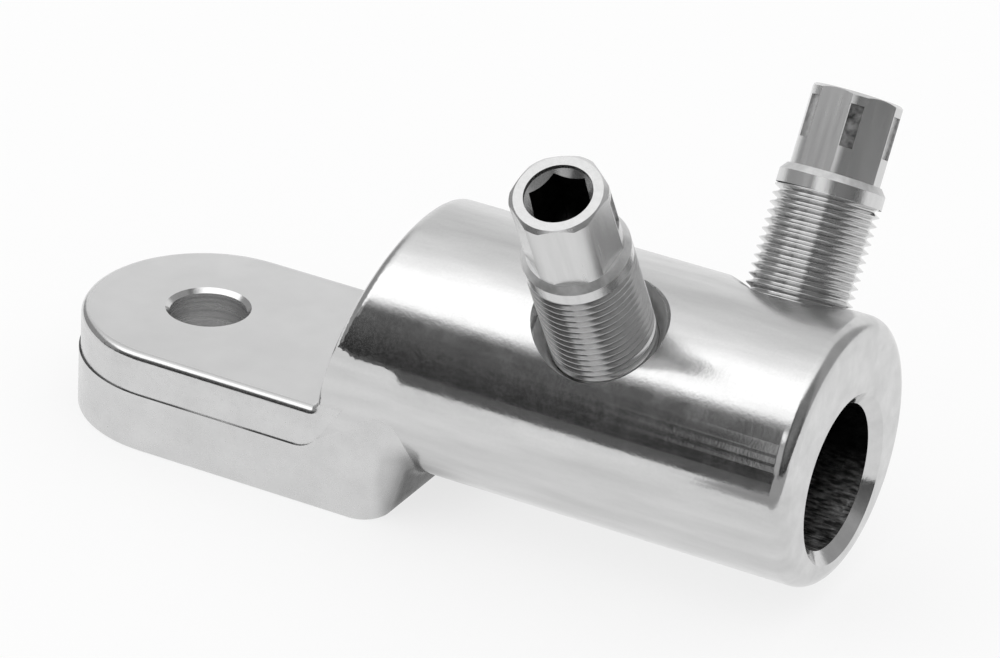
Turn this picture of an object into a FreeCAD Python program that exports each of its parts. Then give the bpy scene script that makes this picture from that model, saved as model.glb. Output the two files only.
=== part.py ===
import FreeCAD, Part
import math
import os

# A mechanical cable lug: a one-piece turned and milled body with a flat palm and a round
# barrel, and two shear-head bolts that clamp the conductor in the barrel's blind bore.
# Millimetres. The origin is on the axis of the palm's hole, in the plane of the palm's
# underside. +X runs along the barrel to the cable's mouth, and +Z is up.

Vector = FreeCAD.Vector

# Palm, the tongue that is bolted to a bar. Its round end is concentric with its hole.
palm_thickness = 12.0
palm_hole_diameter = 8.8
palm_hole_chamfer = 0.5
palm_top_round = 0.93
underside_chamfer = 0.2

# Step along the palm's sides, where the milled upper part is a little narrower. It curls up
# to the barrel, from a place before the shoulder's foot.
seam_height = 6.96
seam_step = 0.2
seam_curl_radius = 3.5
seam_curl_turn = 55.0
seam_curl_before_foot = 2.3

# Base block that carries the barrel's rear part at the palm's level. Its end leans like the
# shoulder above it and meets the barrel in a hollow.
block_past_foot = 8.3
block_corner_radius = 3.2
block_corner_clearance = 0.8
block_hollow = 1.2

# Barrel. Its surface meets the palm's upper sides in a crease just above the palm's top.
barrel_diameter = 30.2
crease_above_palm = 0.7
mouth_x = 79.7
mouth_edge_round = 1.8

# Rear shoulder, which leans towards the mouth and meets the palm's top in a small hollow.
# Its rim is rounded most at the top, and as little as the palm's edge where it meets it.
shoulder_top_x = 27.8
shoulder_lean = 15.0
shoulder_hollow = 0.8
rear_rim_round = 2.4

# Flats milled on both sides, along the palm and the barrel's rear. They set the palm's width
# and are run out by a round cutter.
side_flat_depth = 0.55
side_flat_past_foot = 7.7
side_flat_cutter_radius = 10.0

# Blind bore for the conductor, set below the barrel's axis to leave a thick upper wall
bore_diameter = 16.5
bore_offset = 3.0
bore_depth = 42.0
bore_floor_angle = 120.0
mouth_chamfer_width = 1.37
mouth_chamfer_depth = 1.12

# Screw holes. Their axes cross the bore's axis, and lean to one side and to the other.
front_bolt_to_mouth = 10.97
bolt_spacing = 15.1
bolt_lean = 30.0
thread_diameter = 11.86
running_clearance = 0.05
countersink_above_bore = 14.1
countersink_angle = 55.2

# Shear bolts, measured along their own axis. The tip stands just clear of the bore.
tip_clearance = 0.2
tip_chamfer = 1.0
shank_length = 21.85
neck_length = 0.8
head_height = 9.05
head_width_across_flats = 9.9
head_corner_cut = 0.416

# Narrow pockets sunk in the corner lands of the head, with a sharp ridge left on each side
land_pocket_depth = 0.33
land_pocket_ridge = 0.1
land_pocket_above_neck = 3.0
land_pocket_length = 4.7

# Top of the head: a flat ring, a shallow outer bevel, a counterbore and the hexagon socket
ring_bevel_width = 0.5
ring_bevel_angle = 35.0
counterbore_diameter = 7.45
counterbore_depth = 0.55
socket_width_across_flats = 6.0
socket_depth = 8.5
socket_lead_angle = 90.0
socket_floor_angle = 120.0

# Turn of each head and socket about the bolt's axis, from +X to the middle of a corner,
# and the number of lands, counted from there, that have no pocket
rear_head_turn = -97.0
rear_socket_turn = 7.0
rear_plain_lands = 2
front_head_turn = -66.0
front_socket_turn = 24.0
front_plain_lands = 0

# Derived heights and radii
barrel_radius = barrel_diameter / 2
palm_half_width = barrel_radius - side_flat_depth
palm_width = 2 * palm_half_width
narrow_half_width = palm_half_width - seam_step
crease_below_axis = math.sqrt(barrel_radius**2 - narrow_half_width**2)
barrel_axis_z = palm_thickness + crease_above_palm + crease_below_axis
barrel_clearance_below = barrel_axis_z - barrel_radius
barrel_top_z = barrel_axis_z + barrel_radius
shoulder_slope = math.tan(math.radians(shoulder_lean))
shoulder_foot_x = shoulder_top_x - (barrel_top_z - palm_thickness) * shoulder_slope
seam_curl_start = shoulder_foot_x - seam_curl_before_foot
block_end_x = shoulder_foot_x + block_past_foot
block_start_x = block_end_x - block_corner_radius - block_corner_clearance
side_flat_end_x = shoulder_foot_x + side_flat_past_foot
bore_radius = bore_diameter / 2
bore_axis_z = barrel_axis_z - bore_offset
thread_radius = thread_diameter / 2
screw_hole_radius = thread_radius + running_clearance
bolt_tip = bore_radius + tip_clearance
head_turned_radius = head_width_across_flats / math.sqrt(3) - head_corner_cut
margin = 5.0
plain_barrel_x = block_end_x + 2 * margin

ORIGIN = Vector(0, 0, 0)
ALONG = Vector(1, 0, 0)
UP = Vector(0, 0, 1)


def half_angle_tan(full_angle):
    return math.tan(math.radians(full_angle / 2))


def joined_face(curves):
    return Part.Face(Part.Wire([curve.toShape() for curve in curves]))


def polygon_face(points):
    return Part.Face(Part.makePolygon(points + [points[0]]))


def revolved(section, start, axis):
    """Turn a half section, pairs of radius and distance along the axis, into a solid."""
    face = polygon_face([Vector(radius, 0, along) for radius, along in section])
    solid = face.revolve(ORIGIN, UP, 360)
    solid.Placement = FreeCAD.Placement(start, FreeCAD.Rotation(UP, axis))
    return solid


def cone_hole(radius, depth, floor_angle):
    """Half section of a drilled blind hole, from its mouth at 0 down to its pointed floor."""
    point = radius / half_angle_tan(floor_angle)
    return [(0, margin), (radius, margin), (radius, -depth), (0, -depth - point)]


def shoulder_x(height):
    """Place of the leaning shoulder at a height above the palm's underside."""
    return shoulder_top_x - (barrel_top_z - height) * shoulder_slope


def crease_height(half_width):
    """Height at which an upright side of the base runs into the barrel."""
    return barrel_axis_z - math.sqrt(barrel_radius**2 - half_width**2)


def base_prism(half_width):
    """Plan of the palm, raised until its sides run into the barrel."""
    outline = [
        Part.LineSegment(Vector(0, -half_width, 0), Vector(block_start_x, -half_width, 0)),
        Part.LineSegment(
            Vector(block_start_x, -half_width, 0), Vector(block_start_x, half_width, 0)
        ),
        Part.LineSegment(Vector(block_start_x, half_width, 0), Vector(0, half_width, 0)),
        Part.Arc(
            Vector(0, half_width, 0),
            Vector(-half_width, 0, 0),
            Vector(0, -half_width, 0),
        ),
    ]
    return joined_face(outline).extrude(Vector(0, 0, crease_height(palm_half_width)))


def side_prism(points_and_arcs):
    """A side view, drawn at y = 0, widened past both sides of the palm."""
    width = palm_width + 2 * margin
    prism = joined_face(points_and_arcs).extrude(Vector(0, width, 0))
    prism.translate(Vector(0, -width / 2, 0))
    return prism


def on_curl(angle):
    """A point of the arc in which the step along the sides curls up."""
    x = seam_curl_start + seam_curl_radius * math.sin(angle)
    return Vector(x, 0, seam_height + seam_curl_radius * (1 - math.cos(angle)))


def curl_x(height):
    """Place of the curled-up step at a height above its arc."""
    turn = math.radians(seam_curl_turn)
    end = on_curl(turn)
    return end.x + (height - end.z) / math.tan(turn)


def above_seam():
    """The part above the step along the sides, whose end curls up to the barrel."""
    rear = -palm_half_width - margin
    turn = math.radians(seam_curl_turn)
    start = on_curl(0)
    end = on_curl(turn)
    top = Vector(curl_x(barrel_axis_z), 0, barrel_axis_z)
    return side_prism(
        [
            Part.LineSegment(Vector(rear, 0, seam_height), start),
            Part.Arc(start, on_curl(turn / 2), end),
            Part.LineSegment(end, top),
            Part.LineSegment(top, Vector(rear, 0, barrel_axis_z)),
            Part.LineSegment(Vector(rear, 0, barrel_axis_z), Vector(rear, 0, seam_height)),
        ]
    )


def above_palm():
    """What is milled away above the palm, back to the shoulder and its hollow."""
    rear = -palm_half_width - margin
    top = barrel_top_z + margin
    lean = math.radians(shoulder_lean)
    corner = shoulder_foot_x
    run = shoulder_hollow / math.tan((math.pi / 2 + lean) / 2)
    bisector = (math.pi / 2 - lean) / 2
    start = Vector(corner - run, 0, palm_thickness)
    middle = start + Vector(
        shoulder_hollow * math.sin(bisector), 0, shoulder_hollow * (1 - math.cos(bisector))
    )
    end = Vector(corner + run * math.sin(lean), 0, palm_thickness + run * math.cos(lean))
    crest = Vector(shoulder_x(top), 0, top)
    return side_prism(
        [
            Part.LineSegment(Vector(rear, 0, palm_thickness), start),
            Part.Arc(start, middle, end),
            Part.LineSegment(end, crest),
            Part.LineSegment(crest, Vector(rear, 0, top)),
            Part.LineSegment(Vector(rear, 0, top), Vector(rear, 0, palm_thickness)),
        ]
    )


def above_crease():
    """Above the crease the shoulder's sides belong to the barrel and its rounded rim."""
    size = palm_width + 2 * margin
    low = crease_height(narrow_half_width)
    return Part.makeBox(size, size, size, Vector(curl_x(low) - size, -size / 2, low))


def base():
    """The palm, with a narrower, rounded upper part on the wide lower part."""
    skin = above_seam().cut(base_prism(narrow_half_width))
    solid = base_prism(palm_half_width).cut(skin).cut(above_palm())
    solid = solid.cut(above_crease()).removeSplitter().Solids[0]
    solid = chamfered_underside(solid, -palm_width, block_start_x)
    return solid.makeFillet(palm_top_round, palm_top_edges(solid))


def chamfered_underside(solid, start_x, end_x):
    """Chamfer the edges of an underside, but not the one in the plane where it goes on."""
    edges = []
    for edge in solid.Edges:
        box = edge.BoundBox
        joint = box.XMin > end_x - underside_chamfer or box.XMax < start_x + underside_chamfer
        if box.ZMax < underside_chamfer and not joint:
            edges.append(edge)
    return solid.makeChamfer(underside_chamfer, edges)


def palm_top_edges(solid):
    """The edge round the palm's top and up the sides of the shoulder's hollow."""
    edges = []
    for edge in solid.Edges:
        box = edge.BoundBox
        above = box.ZMin > palm_thickness - palm_top_round / 2
        behind = box.XMax < shoulder_x(palm_thickness + shoulder_hollow)
        crosses = box.YMin < 0 < box.YMax and box.XMin > 0
        if above and behind and not crosses:
            edges.append(edge)
    return edges


def barrel_cylinder(start_x, end_x):
    length = end_x - start_x
    start = Vector(start_x, 0, barrel_axis_z)
    return Part.makeCylinder(barrel_radius, length, start, ALONG)


def block():
    """The block and the barrel's lower half in one, with the hollow where they meet."""
    top_end_x = block_end_x + barrel_axis_z * shoulder_slope
    side = polygon_face(
        [
            Vector(block_start_x, -palm_half_width, 0),
            Vector(block_end_x, -palm_half_width, 0),
            Vector(top_end_x, -palm_half_width, barrel_axis_z),
            Vector(block_start_x, -palm_half_width, barrel_axis_z),
        ]
    )
    solid = side.extrude(Vector(0, palm_width, 0))
    past_start = block_start_x + block_corner_clearance / 2
    corners = []
    for edge in solid.Edges:
        if edge.BoundBox.XMin > past_start and edge.BoundBox.YLength < block_corner_clearance:
            corners.append(edge)
    solid = solid.makeFillet(block_corner_radius, corners)
    solid = chamfered_underside(solid, block_start_x, plain_barrel_x)
    size = 2 * barrel_diameter
    low_half = Part.makeBox(size, size, barrel_axis_z, Vector(block_start_x, -size / 2, 0))
    low_half = low_half.common(barrel_cylinder(block_start_x, plain_barrel_x))
    solid = solid.fuse(low_half).removeSplitter()
    meeting = []
    for edge in solid.Edges:
        box = edge.BoundBox
        between = box.XMin > past_start and box.XMax < plain_barrel_x - margin / 2
        if between and box.ZMin > underside_chamfer + barrel_clearance_below / 4:
            meeting.append(edge)
    return solid.Solids[0].makeFillet(block_hollow, meeting)


def barrel():
    """A plain front with a rounded mouth, and a rear cut back to the leaning shoulder."""
    front = barrel_cylinder(plain_barrel_x, mouth_x)
    rim = [edge for edge in front.Edges if edge.BoundBox.XMin > mouth_x - margin]
    front = front.makeFillet(mouth_edge_round, rim)
    rear = barrel_cylinder(seam_curl_start, plain_barrel_x)
    low = crease_height(narrow_half_width)
    size = 2 * barrel_diameter
    upper_right = Part.makeBox(size, size, size, Vector(0, -size, low))
    over_block = Part.makeBox(size, size, barrel_axis_z, Vector(block_start_x, -size, 0))
    right = rear.common(upper_right).cut(over_block).cut(above_palm()).Solids[0]
    right = rounded_rim(right)
    left = right.mirror(ORIGIN, Vector(0, 1, 0))
    return [front, right, left]


def rounded_rim(half):
    """Round the rim of one half of the shoulder, more towards the top."""
    rim = []
    for edge in half.Edges:
        box = edge.BoundBox
        on_shoulder = box.XMax < shoulder_top_x + margin / 10
        if on_shoulder and box.XLength > margin / 2 and box.YLength > margin:
            rim.append(edge)
    return half.makeFillet(rear_rim_round, palm_top_round, rim)


def bolt_axis(side):
    """Direction out of the bore along a bolt: side -1 leans to -Y, and +1 to +Y."""
    lean = math.radians(bolt_lean)
    return Vector(0, side * math.sin(lean), math.cos(lean))


def screw_hole(x, side):
    """A hole through the thick upper wall, opening into a conical countersink."""
    reach = barrel_diameter
    widening = (reach - countersink_above_bore) * half_angle_tan(countersink_angle)
    section = [
        (0, 0),
        (screw_hole_radius, 0),
        (screw_hole_radius, countersink_above_bore),
        (screw_hole_radius + widening, reach),
        (0, reach),
    ]
    return revolved(section, Vector(x, 0, bore_axis_z), bolt_axis(side))


def side_flat():
    """What is milled away beside the barrel's rear on its right side."""
    rear = -palm_half_width
    cutter = side_flat_cutter_radius
    slant = cutter * math.sqrt(0.5)
    start = Vector(side_flat_end_x, -palm_half_width, 0)
    middle = start + Vector(slant, slant - cutter, 0)
    end = start + Vector(cutter, -cutter, 0)
    outline = [
        Part.LineSegment(Vector(rear, -palm_half_width, 0), start),
        Part.Arc(start, middle, end),
        Part.LineSegment(end, Vector(rear, end.y, 0)),
        Part.LineSegment(Vector(rear, end.y, 0), Vector(rear, -palm_half_width, 0)),
    ]
    return joined_face(outline).extrude(Vector(0, 0, barrel_top_z + margin))


def conductor_bore():
    start = Vector(mouth_x, 0, bore_axis_z)
    bore = revolved(cone_hole(bore_radius, bore_depth, bore_floor_angle), start, ALONG)
    flare = mouth_chamfer_width / mouth_chamfer_depth
    chamfer = [
        (0, margin),
        (bore_radius + mouth_chamfer_width + flare * margin, margin),
        (bore_radius, -mouth_chamfer_depth),
        (0, -mouth_chamfer_depth),
    ]
    return bore.fuse(revolved(chamfer, start, ALONG))


def palm_hole():
    radius = palm_hole_diameter / 2
    wide = radius + palm_hole_chamfer + margin
    section = [
        (0, -margin),
        (wide, -margin),
        (radius, palm_hole_chamfer),
        (radius, palm_thickness - palm_hole_chamfer),
        (wide, palm_thickness + margin),
        (0, palm_thickness + margin),
    ]
    return revolved(section, ORIGIN, UP)


def lug_body(bolts):
    solid = base().multiFuse([block()] + barrel()).removeSplitter()
    flat = side_flat()
    cuts = [conductor_bore(), palm_hole(), flat, flat.mirror(ORIGIN, Vector(0, 1, 0))]
    cuts += [screw_hole(x, side) for x, side in bolts]
    return solid.cut(cuts).removeSplitter()


def hexagon_prism(across_flats, start, end, turn):
    """A hexagonal prism along +Z with the middle of a corner at an angle from +X."""
    corner = across_flats / math.sqrt(3)
    points = []
    for index in range(6):
        angle = math.radians(turn + 60 * index)
        points.append(Vector(corner * math.cos(angle), corner * math.sin(angle), start))
    return polygon_face(points).extrude(Vector(0, 0, end - start))


def turned_bolt(neck, head, top, head_turn):
    """Plain shank, conical neck and a hexagon head whose corners are turned down."""
    turned = head_turned_radius
    ring = turned - ring_bevel_width
    bevel = ring_bevel_width * math.tan(math.radians(ring_bevel_angle))
    shank = [
        (0, 0),
        (thread_radius - tip_chamfer, 0),
        (thread_radius, tip_chamfer),
        (thread_radius, neck),
        (turned, head),
        (0, head),
    ]
    round_head = [(0, head), (turned, head), (turned, top - bevel), (ring, top), (0, top)]
    flats = hexagon_prism(head_width_across_flats, head, top, head_turn)
    head_solid = revolved(round_head, ORIGIN, UP).common(flats)
    return revolved(shank, ORIGIN, UP).fuse(head_solid)


def land_pocket(head, turn):
    """The pocket in one corner land, as wide as the land but for its two ridges."""
    turned = head_turned_radius
    flat_half = math.acos(head_width_across_flats / 2 / turned)
    land_half = math.radians(30) - flat_half
    width = 2 * (turned * math.sin(land_half) - land_pocket_ridge)
    floor = turned - land_pocket_depth
    low = head + land_pocket_above_neck
    corner = Vector(floor, -width / 2, low)
    pocket = Part.makeBox(margin, width, land_pocket_length, corner)
    pocket.rotate(ORIGIN, UP, turn)
    return pocket


def socket_cuts(top, socket_turn):
    """Counterbore, conical lead-in, hexagon socket and the pointed floor of its pilot hole."""
    counterbore = counterbore_diameter / 2
    narrow = socket_width_across_flats / 2
    lead = (counterbore - narrow) / half_angle_tan(socket_lead_angle)
    mouth = [
        (0, -counterbore_depth - lead),
        (narrow, -counterbore_depth - lead),
        (counterbore, -counterbore_depth),
        (counterbore, margin),
        (0, margin),
    ]
    pilot = cone_hole(narrow, socket_depth, socket_floor_angle)
    start = Vector(0, 0, top)
    low = top - socket_depth
    socket = hexagon_prism(socket_width_across_flats, low, top + margin, socket_turn)
    return [revolved(mouth, start, UP), revolved(pilot, start, UP), socket]


def shear_bolt(x, side, head_turn, socket_turn, plain_lands):
    """One bolt, made upright with its tip at height 0 and then set in its hole."""
    neck = shank_length
    head = neck + neck_length
    top = head + head_height
    cuts = socket_cuts(top, socket_turn)
    for index in range(plain_lands, 6):
        cuts.append(land_pocket(head, head_turn + 60 * index))
    solid = turned_bolt(neck, head, top, head_turn).cut(cuts).removeSplitter()
    tilt = FreeCAD.Rotation(ALONG, -side * bolt_lean)
    place = Vector(x, 0, bore_axis_z) + bolt_axis(side) * bolt_tip
    solid.Placement = FreeCAD.Placement(place, tilt)
    return solid


def export(name, solid):
    solid = solid.Solids[0]
    print(name, solid.isValid(), round(solid.Volume, 1), len(solid.Faces))
    solid.exportStep(f"parts/{name}.step")


def main():
    front_x = mouth_x - front_bolt_to_mouth
    rear_x = front_x - bolt_spacing
    rear_bolt = shear_bolt(rear_x, -1, rear_head_turn, rear_socket_turn, rear_plain_lands)
    front_bolt = shear_bolt(front_x, 1, front_head_turn, front_socket_turn, front_plain_lands)
    os.makedirs("parts", exist_ok=True)
    export("lug_body", lug_body([(rear_x, -1), (front_x, 1)]))
    export("rear_shear_bolt", rear_bolt)
    export("front_shear_bolt", front_bolt)


main()
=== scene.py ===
import math

import bmesh
import bpy
from mathutils import Matrix, Vector
from mathutils.noise import noise as noise_at


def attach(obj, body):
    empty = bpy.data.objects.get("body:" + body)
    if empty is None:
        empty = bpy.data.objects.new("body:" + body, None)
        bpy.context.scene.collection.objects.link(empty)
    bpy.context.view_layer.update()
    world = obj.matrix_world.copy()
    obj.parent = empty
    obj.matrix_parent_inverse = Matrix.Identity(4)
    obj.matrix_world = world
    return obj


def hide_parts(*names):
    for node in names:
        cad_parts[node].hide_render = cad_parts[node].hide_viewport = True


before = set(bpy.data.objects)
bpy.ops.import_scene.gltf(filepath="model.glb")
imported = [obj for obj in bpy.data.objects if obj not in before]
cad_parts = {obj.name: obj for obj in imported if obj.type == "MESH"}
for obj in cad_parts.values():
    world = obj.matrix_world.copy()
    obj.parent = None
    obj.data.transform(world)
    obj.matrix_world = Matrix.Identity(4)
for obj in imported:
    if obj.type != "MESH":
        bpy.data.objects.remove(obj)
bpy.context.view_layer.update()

MM = 0.001
ALONG = Vector((1, 0, 0))
UP = Vector((0, 0, 1))

# Places on the lug, in millimetres as in the part's drawing
seam_height = 6.96
barrel_radius = 15.1
barrel_axis_z = 17.4
bore_axis_z = 14.4
mouth_x = 79.7
mouth_round = 1.8
rear_bolt_x = 53.63
front_bolt_x = 68.73
bolt_lean = math.radians(30)

# Limits between the finishes of the lug, in millimetres, each a little off the face it finds
bore_floor_x = 32.2
bore_mouth_x = 78.6
bore_reach = 8.6
hole_reach = 4.41
countersink_reach = 7.3
palm_end_x = 22.5
palm_face_z = 11.99
palm_side_z = 11.1
seam_end_x = 21.0
block_end_x = 36.0
block_top_z = 12.8
hair = 0.02

# Flats beside the barrel's rear, and the zone at their crease that polishing has worn. The
# grid of fine faces there runs from low to high along X and up Z.
flat_end_x = 30.0
flat_top_z = 19.8
wear_reach_x = flat_end_x + 6
wear_aside = 12.5
wear_top_z = 24.0
grid_low = (22.0, 15.0)
grid_high = (35.5, wear_top_z)
grid_step = 0.3

# Thread of the bolts, as heights along a bolt above the bore's axis
thread_pitch = 1.0
crest_radius = 5.93
thread_depth = 0.66
thread_low = 8.45
thread_high = 28.8
tip_chamfer = 1.0
steps_per_turn = 96

# The head of a bolt: its heights above the bore's axis, and the depths and radii of its
# recesses. The heads are turned to different angles, given at the middle of a land.
neck_low = 30.3
head_low = 31.1
head_top = 40.15
rear_head_turn = math.radians(-97)
front_head_turn = math.radians(-66)
counterbore_depth = 0.55
socket_corner = 3.47
socket_inside = 2.9
pocket_floor = 4.97
pocket_reach = 4.5
# The angle round a bolt of the pocket whose floor is painted dark as shade.
shaded_pocket = math.radians(-66)

# Edges are sharp where the two faces beside them turn by more than this, in degrees
sharp_on_lug = 22
sharp_on_head = 20
sharp_on_thread = 70

# Light from overhead: degrees round X, from the front at 0 over the top at 90, and brightness
overhead_profile = [(-180, 1.0), (-30, 0.9), (-10, 0.03), (4, 0.04), (20, 0.09), (32, 0.14),
                    (38, 0.4), (45, 1.7), (72, 1.9), (82, 1.4), (92, 1.15), (110, 0.92),
                    (128, 0.78), (142, 0.85), (152, 0.95), (180, 1.0)]

# Light in the strip low on the camera's side: the X part of the direction, and brightness
camera_side_profile = [(-1.0, 0.3), (-0.85, 0.1), (-0.7, 0.12), (-0.6, 0.4), (-0.52, 0.3),
                       (-0.47, 0.1), (-0.33, 0.1), (-0.25, 1.2), (-0.06, 1.5), (0.2, 1.2),
                       (0.38, 0.4), (0.46, 0.1), (0.7, 0.08), (0.85, 0.2), (1.0, 0.25)]

# Cards on the floor: name, two corners in metres, height in metres and tone
floor_cards = [
    ("dark_in_front", (-3, -3), (0.05, -0.13), 0.0003, 0.03),
    ("grey_in_front", (-3, -0.13), (0.055, -0.0645), 0.0003, 0.11),
    ("dark_edge", (-3, -0.069), (0.056, -0.0625), 0.0006, 0.0),
    ("grey_to_the_right", (0.055, -3), (0.25, -0.045), 0.0003, 0.4),
    ("dark_to_the_right", (0.25, -3), (3, -0.1), 0.0003, 0.03),
]

# The camera: its place in millimetres, the directions of its own axes, and its lens
camera_place = Vector((285.8, -475.8, 295.4))
camera_right = Vector((0.87314, 0.48491, 0.04988))
camera_up = Vector((-0.26062, 0.37788, 0.88842))
camera_forward = Vector((-0.41195, 0.78871, -0.45632))
camera_lens = 198.14


def principled(name, color, metallic, roughness):
    """A new material with its Principled shader and its nodes."""
    material = bpy.data.materials.new(name)
    material.use_nodes = True
    shader = material.node_tree.nodes["Principled BSDF"]
    shader.inputs["Base Color"].default_value = (*color, 1)
    shader.inputs["Metallic"].default_value = metallic
    shader.inputs["Roughness"].default_value = roughness
    return material, shader, material.node_tree


def node(tree, kind, **settings):
    made = tree.nodes.new(kind)
    for key, value in settings.items():
        setattr(made, key, value)
    return made


def feed(tree, socket, value):
    """Give a socket a plain number or the output of another node."""
    if isinstance(value, (int, float)):
        socket.default_value = value
    else:
        tree.links.new(value, socket)


def maths(tree, operation, first, second):
    """A value worked out from two others, each a plain number or an output."""
    made = node(tree, "ShaderNodeMath", operation=operation)
    feed(tree, made.inputs[0], first)
    feed(tree, made.inputs[1], second)
    return made.outputs[0]


def product(tree, first, *others):
    """All the values multiplied together."""
    for other in others:
        first = maths(tree, "MULTIPLY", first, other)
    return first


def mixed(tree, share, first, second):
    """A value that is first at share 0 and second at share 1."""
    mix = node(tree, "ShaderNodeMix", data_type="FLOAT")
    tree.links.new(share, mix.inputs["Factor"])
    feed(tree, mix.inputs["A"], first)
    feed(tree, mix.inputs["B"], second)
    return mix.outputs["Result"]


def spread(tree, value, low, high, start=0.3, end=0.7):
    """Turn a value between start and end into one between low and high."""
    ramp = node(tree, "ShaderNodeMapRange")
    ramp.inputs["From Min"].default_value = start
    ramp.inputs["From Max"].default_value = end
    ramp.inputs["To Min"].default_value = low
    ramp.inputs["To Max"].default_value = high
    tree.links.new(value, ramp.inputs["Value"])
    return ramp.outputs["Result"]


def ramp_between(tree, value, none, full):
    """A soft change from 0 where the value is none to 1 where it is full, either way round."""
    ramp = node(tree, "ShaderNodeMapRange", interpolation_type="SMOOTHSTEP")
    ramp.inputs["From Min"].default_value = none
    ramp.inputs["From Max"].default_value = full
    tree.links.new(value, ramp.inputs["Value"])
    return ramp.outputs["Result"]


def noise(tree, steps, detail=3.0, lean=0.0):
    """Noise with so many steps per metre along X, Y and Z, turned about X by a bolt's lean."""
    coordinates = node(tree, "ShaderNodeTexCoord")
    turned_back = node(tree, "ShaderNodeMapping")
    turned_back.inputs["Rotation"].default_value = (lean, 0, 0)
    stretched = node(tree, "ShaderNodeMapping")
    stretched.inputs["Scale"].default_value = steps
    texture = node(tree, "ShaderNodeTexNoise")
    texture.inputs["Scale"].default_value = 1.0
    texture.inputs["Detail"].default_value = detail
    tree.links.new(coordinates.outputs["Object"], turned_back.inputs["Vector"])
    tree.links.new(turned_back.outputs["Vector"], stretched.inputs["Vector"])
    tree.links.new(stretched.outputs["Vector"], texture.inputs["Vector"])
    return texture.outputs["Fac"]


class Finish:
    """A metal's finish, built up of layers of roughness, tone and relief.

    The steps of a layer's noise are counted per metre along X, Y and Z."""

    def __init__(self, name, tone, roughness, metal=1.0, lean=0.0):
        self.material, self.shader, self.tree = principled(name, (tone, tone, tone), metal,
                                                           roughness)
        self.lean = lean
        self.relief = None

    def noise(self, steps, detail=3.0):
        return noise(self.tree, steps, detail, self.lean)

    def gloss(self, *layers):
        """Roughness as a sum of layers of noise, each with its steps, low and high value."""
        total = 0.0
        for layer in layers:
            if isinstance(layer, tuple):
                steps, *limits = layer
                layer = spread(self.tree, self.noise(steps), *limits)
            total = maths(self.tree, "ADD", layer, total)
        total = maths(self.tree, "MAXIMUM", total, 0.03)
        self.tree.links.new(total, self.shader.inputs["Roughness"])

    def paint(self, value):
        """A grey of a value as the metal's colour."""
        color = node(self.tree, "ShaderNodeCombineColor")
        for socket in color.inputs:
            self.tree.links.new(value, socket)
        self.tree.links.new(color.outputs["Color"], self.shader.inputs["Base Color"])

    def tone(self, steps, low, high, start=0.3, end=0.7, painted_shade=0.0):
        """Patches of a lighter and a darker grey, with any painted shade taken off them."""
        value = spread(self.tree, self.noise(steps, detail=4.0), low, high, start, end)
        value = maths(self.tree, "SUBTRACT", value, painted_shade)
        self.paint(maths(self.tree, "MAXIMUM", value, 0.02))

    def dull(self, steps, low, high, start, end):
        """Specks where the metal is dulled: low and high are shares of metal."""
        value = spread(self.tree, self.noise(steps, detail=4.0), low, high, start, end)
        self.tree.links.new(value, self.shader.inputs["Metallic"])

    def bumps(self, steps, height):
        """Relief of a height in metres, on top of the relief that is there."""
        made = node(self.tree, "ShaderNodeBump")
        made.inputs["Distance"].default_value = height
        self.tree.links.new(spread(self.tree, self.noise(steps, detail=2.0), 0.0, 1.0, 0.0, 1.0),
                            made.inputs["Height"])
        if self.relief is not None:
            self.tree.links.new(self.relief, made.inputs["Normal"])
        self.relief = made.outputs["Normal"]
        self.tree.links.new(self.relief, self.shader.inputs["Normal"])

    def product(self, *values):
        return product(self.tree, *values)

    def place(self, axis):
        """The place along an axis of the object, in metres."""
        coordinates = node(self.tree, "ShaderNodeTexCoord")
        parts = node(self.tree, "ShaderNodeSeparateXYZ")
        self.tree.links.new(coordinates.outputs["Object"], parts.inputs[0])
        return parts.outputs[axis]

    def share_along(self, axis, none, full):
        """0 at none and 1 at full along an axis of the object, in millimetres."""
        return ramp_between(self.tree, self.place(axis), none * MM, full * MM)

    def share_aside(self, none, full):
        """0 at none and 1 at full, in millimetres to either side of the middle."""
        aside = maths(self.tree, "ABSOLUTE", self.place("Y"), 0.0)
        return ramp_between(self.tree, aside, none * MM, full * MM)


def turned_finish():
    """The barrel's polished plate: fine streaks round it, and painted shade in the nook at the
    block.
    """
    finish = Finish("turned_tin", tone=0.62, roughness=0.15)
    # Painted shade on the barrel, low down beside the block's end.
    nook_painted_shade = finish.product(finish.share_along("X", 42, 33), finish.share_along("Z", 9.8, 5.5), 0.56)
    hazy_top = finish.product(finish.share_along("Z", 26, 30), 0.1)
    finish.gloss(((1900, 160, 160), 0.02, 0.05), ((400, 400, 400), 0.06, 0.13), hazy_top)
    finish.tone((70, 420, 420), low=0.54, high=0.68, start=0.2, end=0.8, painted_shade=nook_painted_shade)
    finish.dull((4200, 3600, 3600), low=0.94, high=1.0, start=0.35, end=0.65)
    finish.bumps((1700, 300, 300), height=1.5e-6)
    finish.bumps((3600, 2800, 2800), height=5e-6)
    finish.bumps((700, 700, 700), height=8e-6)
    finish.bumps((220, 220, 220), height=12e-6)
    return finish.material


def milled_finish():
    """The palm's satin faces, with faint clouds in the plate."""
    finish = Finish("milled_tin", tone=0.68, roughness=0.35)
    finish.tone((200, 200, 200), low=0.64, high=0.68)
    finish.gloss(((180, 180, 180), 0.28, 0.38))
    finish.bumps((3500, 3500, 3500), height=6e-6)
    return finish.material


def side_finish():
    """The palm's sides, glossier; the block's end is painted dark as shade, deepest in the middle.
    """
    finish = Finish("polished_side_tin", tone=0.64, roughness=0.25)
    # Painted shade on the block's end, deepest in the middle and fading out to the sides.
    shade_deepest_in_middle = spread(finish.tree, finish.share_aside(14.2, 9), 0.1, 0.64, 0.0, 1.0)
    painted_end_shade = finish.product(finish.share_along("X", 29.8, 31),
                                finish.share_along("Z", 11, 7.5),
                                shade_deepest_in_middle, finish.share_aside(14.6, 14))
    finish.tone((220, 220, 260), low=0.6, high=0.7, start=0.15, end=0.85, painted_shade=painted_end_shade)
    finish.gloss(((1200, 1200, 1200), 0.22, 0.3))
    return finish.material


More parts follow.
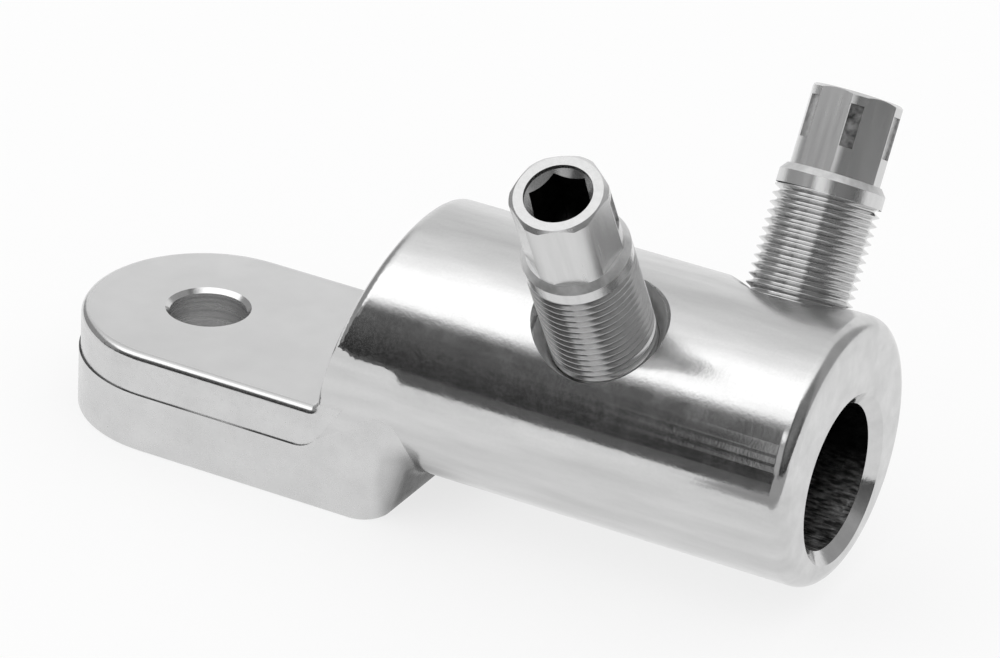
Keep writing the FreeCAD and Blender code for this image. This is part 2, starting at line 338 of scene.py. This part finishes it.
def countersunk_finish():
    """The countersinks, cut by a dull tool and plated matt."""
    finish = Finish("countersunk_tin", tone=0.62, roughness=0.5, metal=0.45)
    finish.tone((900, 900, 900), low=0.5, high=0.6)
    finish.gloss(((700, 700, 700), 0.45, 0.55))
    finish.bumps((2500, 2500, 2500), height=10e-6)
    return finish.material


def drilled_finish():
    """The palm's hole: rings left by the drill."""
    finish = Finish("drilled_tin", tone=0.6, roughness=0.3, metal=0.8)
    finish.tone((60, 60, 2600), low=0.45, high=0.75)
    finish.gloss(((80, 80, 2600), 0.2, 0.3))
    finish.bumps((100, 100, 3000), height=6e-6)
    return finish.material


def bored_finish():
    """The cable bore: dull and painted dark as shade, with painted glints in specks near the mouth
    and the rough lines of the boring bar.
    """
    finish = Finish("bored_tin", tone=0.3, roughness=0.5)
    near_mouth = finish.product(finish.share_along("X", 64, 79), finish.share_along("Z", 14, 9))
    # Painted glints in specks near the mouth; the rest of the bore is painted dark as shade.
    painted_glints = spread(finish.tree, finish.noise((700, 3000, 3000), detail=4.0), 0.1, 0.8, 0.4, 0.7)
    finish.paint(maths(finish.tree, "ADD", finish.product(painted_glints, near_mouth), 0.02))
    finish.gloss(((900, 900, 900), 0.35, 0.6))
    finish.bumps((1500, 2600, 2600), height=80e-6)
    return finish.material


def seam_finish():
    """The narrow step along the palm's sides, painted dark as shade in its crease, less dark in
    the middle.
    """
    finish = Finish("seam", tone=0.2, roughness=0.5)
    # Painted shade along the crease: less dark in the middle, with noise.
    lighter_in_middle = finish.product(finish.share_along("X", 4, 8), finish.share_along("X", 15, 12), 0.4)
    painted_crease_shade = spread(finish.tree, finish.noise((350, 350, 350)), 0.04, 0.2)
    finish.paint(maths(finish.tree, "ADD", lighter_in_middle, painted_crease_shade))
    return finish.material


def head_finish(name, lean):
    """The bolts' heads: satin, brushed along the bolt."""
    finish = Finish(name, tone=0.62, roughness=0.2, metal=0.97, lean=lean)
    finish.tone((1600, 1600, 110), low=0.62, high=0.7, start=0.15, end=0.85)
    finish.gloss(((1500, 1500, 100), 0.2, 0.3, 0.15, 0.85))
    finish.bumps((2200, 2200, 150), height=1.5e-6)
    return finish.material


def neck_finish(name, lean):
    """The neck's cone and the ledges under the flats, left matt by the tool."""
    finish = Finish(name, tone=0.62, roughness=0.4, metal=0.85, lean=lean)
    finish.tone((1200, 1200, 1200), low=0.56, high=0.72)
    finish.gloss(((1200, 1200, 1200), 0.36, 0.46))
    finish.bumps((2500, 2500, 2500), height=10e-6)
    return finish.material


def pocket_finish(name, lean, low, high):
    """The floors of the pockets, rough from the tool, in a lighter grey, or in a darker grey
    painted as shade.
    """
    finish = Finish(name, tone=0.4, roughness=0.4, metal=0.6, lean=lean)
    finish.tone((1300, 1300, 1300), low, high)
    finish.bumps((1500, 1500, 1500), height=60e-6)
    return finish.material


def socket_finish():
    """The inside of the hexagon socket, painted dark as shade."""
    finish = Finish("shaded_socket", tone=0.03, roughness=0.45)
    finish.tone((900, 900, 900), low=0.015, high=0.05)
    finish.bumps((2500, 2500, 2500), height=20e-6)
    return finish.material


def thread_finish(name, lean):
    """The thread's flanks, cut clean with a faint grain."""
    finish = Finish(name, tone=0.6, roughness=0.2, metal=0.92, lean=lean)
    finish.tone((900, 900, 900), low=0.62, high=0.7)
    finish.gloss(((700, 700, 700), 0.14, 0.2))
    return finish.material


turned = turned_finish()
milled = milled_finish()
polished_side = side_finish()
drilled = drilled_finish()
bored = bored_finish()
countersunk = countersunk_finish()
seam = seam_finish()
socket = socket_finish()


def new_object(name, bm, materials):
    """An object at the origin made of a bmesh, with its materials."""
    mesh = bpy.data.meshes.new(name)
    bm.to_mesh(mesh)
    bm.free()
    for material in materials:
        mesh.materials.append(material)
    made = bpy.data.objects.new(name, mesh)
    bpy.context.scene.collection.objects.link(made)
    return made


def new_piece(name, bm, materials, body, stands_for):
    """A piece of the object, which rides on a body and replaces a node."""
    piece = new_object(name, bm, materials)
    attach(piece, body)
    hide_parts(stands_for)
    return piece


def merged_copy(cad_node):
    """A bmesh of a node's mesh with its doubled vertices merged."""
    bm = bmesh.new()
    bm.from_mesh(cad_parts[cad_node].data)
    for layer in list(bm.loops.layers.float_vector):
        bm.loops.layers.float_vector.remove(layer)
    bmesh.ops.remove_doubles(bm, verts=bm.verts, dist=0.000001)
    bmesh.ops.recalc_face_normals(bm, faces=bm.faces)
    return bm


def sharpen(bm, degrees):
    """Keep an edge sharp where its two faces turn by more than so many degrees."""
    for edge in bm.edges:
        if len(edge.link_faces) == 2 and edge.calc_face_angle() > math.radians(degrees):
            edge.smooth = False


def cut_off(bm, place, outwards):
    """Cut a bmesh at a plane and take away what lies outwards of it."""
    bmesh.ops.bisect_plane(bm, geom=bm.verts[:] + bm.edges[:] + bm.faces[:], plane_co=place,
                           plane_no=outwards, clear_outer=True)


def close_ends(bm):
    """Fill the open outlines that a cut has left."""
    ends = [edge for edge in bm.edges if edge.is_boundary]
    bmesh.ops.holes_fill(bm, edges=ends, sides=0)


def barrel_normal(point):
    """The true direction out of the barrel's cylinder at a point on it."""
    return Vector((0, point.y, point.z - barrel_axis_z * MM)).normalized()


def mouth_normal(point):
    """The true direction out of the mouth's rounded edge at a point on it."""
    out = barrel_normal(point) * (barrel_radius - mouth_round)
    middle = Vector((mouth_x - mouth_round, out.y, out.z + barrel_axis_z)) * MM
    return (point - middle).normalized()


def is_mouth_edge(polygon):
    """Whether a face is part of the mouth's rounded outer edge."""
    x, y, z = polygon.center / MM
    outside = math.hypot(y, z - barrel_axis_z) > barrel_radius - mouth_round
    return x > mouth_x - mouth_round and outside and abs(polygon.normal.x) < 0.999


def on_barrel(face):
    """Whether a face lies on the barrel's cylinder, with all its corners."""
    for vert in face.verts:
        away = math.hypot(vert.co.y, vert.co.z - barrel_axis_z * MM)
        if abs(away - barrel_radius * MM) > 0.01 * MM:
            return False
    middle = face.calc_center_median()
    return abs(face.normal.x) < 0.01 and middle.x > 22 * MM


def set_normals(mesh, own_normal):
    """Smooth shading with edges kept sharp, and own_normal's directions where it gives one."""
    normals = [tuple(corner.vector) for corner in mesh.corner_normals]
    for polygon in mesh.polygons:
        for loop in polygon.loop_indices:
            vert = mesh.vertices[mesh.loops[loop].vertex_index]
            given = own_normal(polygon, vert.co)
            if given is not None:
                normals[loop] = tuple(given)
    mesh.normals_split_custom_set(normals)


def lug_finish(middle):
    """The finish of the lug at a place."""
    x, y, z = middle / MM
    from_barrel_axis = math.hypot(y, z - barrel_axis_z)
    if bore_floor_x < x < bore_mouth_x and math.hypot(y, z - bore_axis_z) < bore_reach:
        return bored
    if math.hypot(x, y) < hole_reach:
        return drilled
    for bolt_x, side in ((rear_bolt_x, -1), (front_bolt_x, 1)):
        from_bolt = bolt_matrix(bolt_x, side).inverted() @ middle / MM
        near_bolt = math.hypot(from_bolt.x, from_bolt.y) < countersink_reach
        if near_bolt and from_barrel_axis < barrel_radius - hair:
            return countersunk
    if x < palm_end_x and z > palm_face_z:
        return milled
    if x < seam_end_x and abs(z - seam_height) < hair:
        return seam
    if x < palm_end_x and z > palm_side_z:
        return turned
    if x < palm_end_x or x < block_end_x and z < block_top_z:
        return polished_side
    return turned


def beside_rear(face):
    """Whether a face reaches the crease of a side flat beside the barrel's rear."""
    along = [vert.co.x / MM for vert in face.verts]
    aside = [abs(vert.co.y) / MM for vert in face.verts]
    height = [vert.co.z / MM for vert in face.verts]
    return (max(along) > grid_low[0] and min(along) < wear_reach_x and max(aside) > wear_aside
            and max(height) > grid_low[1] and min(height) < grid_high[1])


def grid_beside_rear(bm):
    """Fine faces beside the barrel's rear, for the soft change between flat and round."""
    faces = [face for face in bm.faces if beside_rear(face)]
    region = faces + list({edge for face in faces for edge in face.edges})
    region += list({vert for face in faces for vert in face.verts})
    for across, low, high in zip((ALONG, UP), grid_low, grid_high):
        for index in range(round((high - low) / grid_step) + 1):
            place = across * (low + index * grid_step) * MM
            region = bmesh.ops.bisect_plane(bm, geom=region, dist=0.0000001, plane_co=place,
                                            plane_no=across)["geom"]


def step(value, low, high):
    """A soft step from 0 at low to 1 at high."""
    share = min(1.0, max(0.0, (value - low) / (high - low)))
    return share * share * (3 - 2 * share)


def worn_normal(place):
    """Polishing has rounded the side flat's upper and outer edge over to the barrel."""
    x, y, z = place / MM
    ragged = 0.9 * noise_at(Vector((2.6 * x, 0.5 * z, 7))) * step(x, 29, 23)
    ragged += 0.2 * noise_at(place * 900)
    edge = flat_top_z + 1.3 * step(x, 27.5, 25) + ragged
    flat = step(z, edge + 0.5, edge - 0.5) * step(x, flat_end_x + 3.6, flat_end_x + 1.8)
    aside = Vector((0, math.copysign(1, y), 0))
    return barrel_normal(place).lerp(aside, flat).normalized()


def is_worn(polygon):
    """Whether a face at the worn crease looks sideways, on the flat or on the barrel."""
    x, y, z = polygon.center / MM
    upright = polygon.normal.x > (-0.15 if x < 27.5 else -0.5) and abs(polygon.normal.z) < 0.5
    in_zone = 23.2 < x < wear_reach_x and 15.4 < z < wear_top_z and abs(y) > wear_aside
    return in_zone and upright


def lug_body():
    """The lug from its node's own mesh, with its finishes by place and its true round shading."""
    bm = merged_copy("lug_body")
    grid_beside_rear(bm)
    bm.faces.ensure_lookup_table()
    finishes = [turned, milled, polished_side, bored, drilled, countersunk, seam]
    round_faces = set()
    for face in bm.faces:
        face.smooth = True
        face.material_index = finishes.index(lug_finish(face.calc_center_median()))
        if on_barrel(face):
            round_faces.add(face.index)
    sharpen(bm, sharp_on_lug)
    piece = new_piece("lug_body_skin", bm, finishes, "lug", "lug_body")

    def own_normal(polygon, place):
        if is_worn(polygon):
            return worn_normal(place)
        if is_mouth_edge(polygon):
            return mouth_normal(place)
        return barrel_normal(place) if polygon.index in round_faces else None

    set_normals(piece.data, own_normal)


def bolt_matrix(x, side):
    """From a bolt's own frame, along +Z from the bore's axis, to the part's frame."""
    lean = Matrix.Rotation(-side * bolt_lean, 4, "X")
    return Matrix.Translation(Vector((x, 0, bore_axis_z)) * MM) @ lean


def thread_profile():
    """One turn's outline of the V thread as radii and heights, its crest's corners broken."""
    root = crest_radius - thread_depth
    flat = thread_pitch / 8
    flank = (thread_pitch - 2.5 * flat) / 2
    crest_start = 0.75 * flat + flank
    crest_end = crest_start + flat
    corner = crest_radius - 0.03
    return [
        (root, 0),
        (root, 0.75 * flat),
        (corner, crest_start - 0.01),
        (crest_radius, crest_start + 0.02),
        (crest_radius, crest_end - 0.02),
        (corner, crest_end + 0.01),
        (root, crest_end + flank),
        (root, thread_pitch),
    ]


def chamfer_tip(bm):
    """Draw the thread in to a cone at its lower end."""
    for vert in bm.verts:
        height = vert.co.z / MM
        radius = math.hypot(vert.co.x, vert.co.y) / MM
        limit = crest_radius - tip_chamfer + (height - thread_low)
        if radius > limit:
            vert.co.x *= limit / radius
            vert.co.y *= limit / radius


def thread():
    """A right-hand V thread as one screwed profile, cut flat at both ends, its tip chamfered."""
    bm = bmesh.new()
    start = thread_low - 2 * thread_pitch
    verts = [bm.verts.new((radius * MM, 0, (start + along) * MM))
             for radius, along in thread_profile()]
    edges = [bm.edges.new(pair) for pair in zip(verts, verts[1:])]
    bmesh.ops.spin(bm, geom=verts + edges, cent=(0, 0, 0), axis=UP,
                   dvec=(0, 0, thread_pitch * MM / steps_per_turn),
                   angle=2 * math.pi, steps=steps_per_turn, use_merge=False)
    one_turn = bm.verts[:] + bm.edges[:] + bm.faces[:]
    turns = math.ceil((thread_high - thread_low) / thread_pitch) + 3
    for turn in range(1, turns):
        copy = bmesh.ops.duplicate(bm, geom=one_turn)["geom"]
        copied = [item for item in copy if isinstance(item, bmesh.types.BMVert)]
        bmesh.ops.translate(bm, vec=(0, 0, turn * thread_pitch * MM), verts=copied)
    bmesh.ops.remove_doubles(bm, verts=bm.verts, dist=0.000002)
    cut_off(bm, UP * (thread_low * MM), -UP)
    cut_off(bm, UP * (thread_high * MM), UP)
    chamfer_tip(bm)
    close_ends(bm)
    bmesh.ops.recalc_face_normals(bm, faces=bm.faces)
    return bm


def head_finish_of(face, to_bolt, head_turn):
    """The finish of a face of a bolt's head, as its name among the bolt's finishes."""
    middle = to_bolt @ face.calc_center_median() / MM
    normal = to_bolt.to_3x3() @ face.normal
    radius = math.hypot(middle.x, middle.y)
    in_socket = radius < socket_corner and middle.z < head_top - counterbore_depth
    if in_socket and abs(normal.z) < 0.5 or radius < socket_inside:
        return "socket"
    if neck_low < middle.z < head_low + 0.1 and abs(normal.z) > 0.3:
        return "neck"
    outwards = (normal.x * middle.x + normal.y * middle.y) / max(radius, 0.1)
    sixth = math.pi / 3
    off_land = abs((math.atan2(normal.y, normal.x) - head_turn + sixth / 2) % sixth - sixth / 2)
    on_floor = radius < pocket_floor + 0.2 and outwards > 0.9 and off_land < math.radians(12)
    beside_land = radius > pocket_reach and head_low + 0.5 < middle.z < head_top - 1
    if beside_land and (on_floor or abs(outwards) < 0.5):
        at_shaded_one = abs(math.atan2(middle.y, middle.x) - shaded_pocket) < 0.4
        return "shaded_pocket" if at_shaded_one else "pocket"
    return "head"


def bolt(name, cad_node, body, x, side, head_turn):
    """The head and collar from the node's own mesh, and a modelled thread below the collar."""
    lean = side * bolt_lean
    finishes = {
        "head": head_finish(name + "_head", lean),
        "thread": thread_finish(name + "_thread", lean),
        "socket": socket,
        # One pocket's floor is painted dark as shade.
        "shaded_pocket": pocket_finish(name + "_shaded_pocket", lean, low=0.04, high=0.3),
        "neck": neck_finish(name + "_neck", lean),
        "pocket": pocket_finish(name + "_pocket", lean, low=0.4, high=0.6),
    }
    order = list(finishes)
    place = bolt_matrix(x, side)
    bm = merged_copy(cad_node)
    cut_off(bm, place @ (UP * thread_high * MM), place.to_3x3() @ -UP)
    close_ends(bm)
    to_bolt = place.inverted()
    for face in bm.faces:
        face.material_index = order.index(head_finish_of(face, to_bolt, head_turn))
    sharpen(bm, sharp_on_head)
    screw = thread()
    for face in screw.faces:
        face.material_index = order.index("thread")
    sharpen(screw, sharp_on_thread)
    screw.transform(place)
    part = bpy.data.meshes.new(name + "_thread")
    screw.to_mesh(part)
    screw.free()
    bm.from_mesh(part)
    bpy.data.meshes.remove(part)
    for face in bm.faces:
        face.smooth = True
    bmesh.ops.recalc_face_normals(bm, faces=bm.faces)
    new_piece(name, bm, finishes.values(), body, cad_node)


lug_body()
bolt("rear_bolt_threaded", "rear_shear_bolt", "rear_bolt", rear_bolt_x, -1, rear_head_turn)
bolt("front_bolt_threaded", "front_shear_bolt", "front_bolt", front_bolt_x, 1, front_head_turn)


def flat_sheet(name, low_corner, high_corner, height, material):
    """A level rectangle of the studio, which is no part of the object."""
    middle = [(a + b) / 2 for a, b in zip(low_corner, high_corner)]
    size = [b - a for a, b in zip(low_corner, high_corner)]
    bm = bmesh.new()
    bmesh.ops.create_grid(bm, x_segments=1, y_segments=1, size=0.5)
    bmesh.ops.scale(bm, vec=(*size, 1), verts=bm.verts)
    bmesh.ops.translate(bm, vec=(*middle, height), verts=bm.verts)
    sheet = new_object(name, bm, [material])
    return sheet


def floor_finish():
    """White paper with much light of its own, so that shadows on it stay soft."""
    material, shader, tree = principled("floor_white", (0.9, 0.9, 0.9), 0.0, 0.9)
    shader.inputs["Specular IOR Level"].default_value = 0.0
    path = node(tree, "ShaderNodeLightPath")
    to_camera = product(tree, path.outputs["Is Camera Ray"], 0.75)
    in_metal = maths(tree, "ADD", path.outputs["Is Glossy Ray"],
                     path.outputs["Is Transmission Ray"])
    own_light = maths(tree, "ADD", to_camera, product(tree, in_metal, 0.8))
    glow = node(tree, "ShaderNodeEmission")
    mix = node(tree, "ShaderNodeMixShader")
    tree.links.new(own_light, mix.inputs["Fac"])
    tree.links.new(shader.outputs["BSDF"], mix.inputs[1])
    tree.links.new(glow.outputs["Emission"], mix.inputs[2])
    tree.links.new(mix.outputs["Shader"], tree.nodes["Material Output"].inputs["Surface"])
    return material


def dark_card(name, low_corner, high_corner, height, tone):
    """A dark card on the floor, which only shows in the metal."""
    material, shader, _ = principled(name, (tone, tone, tone), 0.0, 1.0)
    shader.inputs["Specular IOR Level"].default_value = 0.0
    card = flat_sheet(name, low_corner, high_corner, height, material)
    card.visible_camera = False
    card.visible_diffuse = False
    card.visible_shadow = False


def brightness_along(tree, value, low, high, stops):
    """Brightness, up to 2, at places along a value that runs from low to high."""
    ramp = node(tree, "ShaderNodeValToRGB")
    elements = ramp.color_ramp.elements
    while len(elements) < len(stops):
        elements.new(0.5)
    for element, (place, bright) in zip(elements, stops):
        element.position = (place - low) / (high - low)
        element.color = (bright / 2, bright / 2, bright / 2, 1)
    tree.links.new(spread(tree, value, 0.0, 1.0, low, high), ramp.inputs["Fac"])
    return product(tree, ramp.outputs["Color"], 2.0)


def overhead_light(tree, x, angle):
    """The long light over the lug, with a grey patch low in front of it."""
    stops = [(math.radians(degrees), bright) for degrees, bright in overhead_profile]
    light = brightness_along(tree, angle, -math.pi, math.pi, stops)
    low_front = product(tree, ramp_between(tree, x, -0.35, -0.24),
                        ramp_between(tree, angle, math.radians(28), math.radians(20)))
    return mixed(tree, low_front, light, maths(tree, "MAXIMUM", light, 0.5))


def camera_strip_share(tree, to_front, angle):
    """1 in the strip low on the camera's side, and 0 elsewhere."""
    level = product(tree, ramp_between(tree, angle, math.radians(24), math.radians(28)),
                    ramp_between(tree, angle, math.radians(37), math.radians(32)))
    return product(tree, ramp_between(tree, to_front, 0.3, 0.5), level)


def right_wall_light(tree, x, y, z):
    """A grey wall to the right, lighter upwards and outwards, and on the far side."""
    lit = product(tree, spread(tree, x, 0.3, 1.0, 0.4, 0.55),
                  spread(tree, z, 0.05, 0.22, 0.0, 0.35))
    far_side = product(tree, ramp_between(tree, y, -0.05, 0.25), 0.4)
    return maths(tree, "MAXIMUM", lit, far_side)


def studio_world():
    """A long soft light overhead, a dark side with the camera and grey walls left and right."""
    world = bpy.data.worlds.new("studio")
    bpy.context.scene.world = world
    world.use_nodes = True
    tree = world.node_tree
    direction = node(tree, "ShaderNodeSeparateXYZ")
    tree.links.new(node(tree, "ShaderNodeTexCoord").outputs["Generated"], direction.inputs[0])
    x, y, z = direction.outputs
    to_front = product(tree, y, -1.0)
    angle = maths(tree, "ARCTAN2", z, to_front)
    color = mixed(tree, camera_strip_share(tree, to_front, angle), overhead_light(tree, x, angle),
                  brightness_along(tree, x, -1.0, 1.0, camera_side_profile))
    on_right = product(tree, ramp_between(tree, x, 0.26, 0.38), ramp_between(tree, z, 0.9, 0.8))
    color = mixed(tree, on_right, color, right_wall_light(tree, x, y, z))
    on_left = product(tree, ramp_between(tree, x, -0.7, -0.85), ramp_between(tree, z, 0.7, 0.5))
    color = mixed(tree, on_left, color, 0.35)
    path = node(tree, "ShaderNodeLightPath")
    plain = maths(tree, "MAXIMUM", path.outputs["Is Camera Ray"], path.outputs["Is Diffuse Ray"])
    color = mixed(tree, plain, color, 1.0)
    tree.links.new(color, tree.nodes["Background"].inputs["Color"])


flat_sheet("floor", (-3, -3), (3, 3), 0, floor_finish())
for card in floor_cards:
    dark_card(*card)
studio_world()

camera = bpy.data.objects.new("camera", bpy.data.cameras.new("camera"))
bpy.context.scene.collection.objects.link(camera)
bpy.context.scene.camera = camera
camera_axes = Matrix((camera_right, camera_up, -camera_forward)).transposed().to_4x4()
camera.matrix_world = Matrix.Translation(camera_place * MM) @ camera_axes
camera.data.lens = camera_lens
camera.data.sensor_width = 36
camera.data.sensor_fit = "HORIZONTAL"
camera.data.clip_start = 0.01
camera.data.clip_end = 50

bpy.context.scene.view_settings.view_transform = "Standard"
